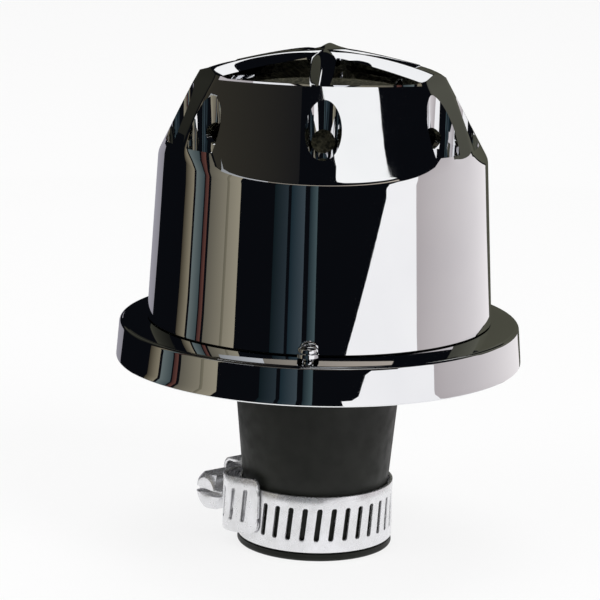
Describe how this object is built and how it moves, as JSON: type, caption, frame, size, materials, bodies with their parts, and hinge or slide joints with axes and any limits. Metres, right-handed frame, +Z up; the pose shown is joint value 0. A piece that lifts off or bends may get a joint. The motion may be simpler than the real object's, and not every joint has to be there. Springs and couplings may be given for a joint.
{
  "type": "crankcase breather filter",
  "caption": "Chromed crankcase breather filter with a star-topped hood on a skirted pan, a rubber neck and a worm-drive clamp.",
  "frame": {"origin": "centre of the rubber neck's lower end face", "axes": "+Z up along the neck's axis towards the star on top, -Y towards the front fixing screw"},
  "size_m": [0.0902, 0.0902, 0.1127],
  "materials": {
    "chrome": "polished",
    "zinc": "zinc plated",
    "steel": "satin",
    "rubber": "matte",
    "foam": "open-cell foam",
    "plastic": "matte"
  },
  "bodies": {
    "filter": {"hood_shell": "chrome", "base_pan": "chrome", "foot_gasket": "rubber", "foot_screw_1": "chrome", "foot_screw_2": "chrome", "foot_screw_3": "chrome", "foot_washer_1": "steel", "foot_washer_2": "steel", "foot_washer_3": "steel", "foot_nut_1": "steel", "foot_nut_2": "steel", "foot_nut_3": "steel", "foam_element": "foam", "core_tube": "steel", "core_cap": "plastic", "core_ring": "plastic", "rubber_neck": "rubber", "clamp_band": "zinc", "clamp_housing": "zinc"},
    "worm": {"clamp_screw": "zinc"}
  },
  "joints": [
    {"name": "clamp_screw_turn", "type": "hinge", "parent": "filter", "child": "worm", "pos_m": [-0.01445, 0.01605, 0.00835], "axis": [-0.7431, -0.6691, 0], "continuous": true}
  ]
}
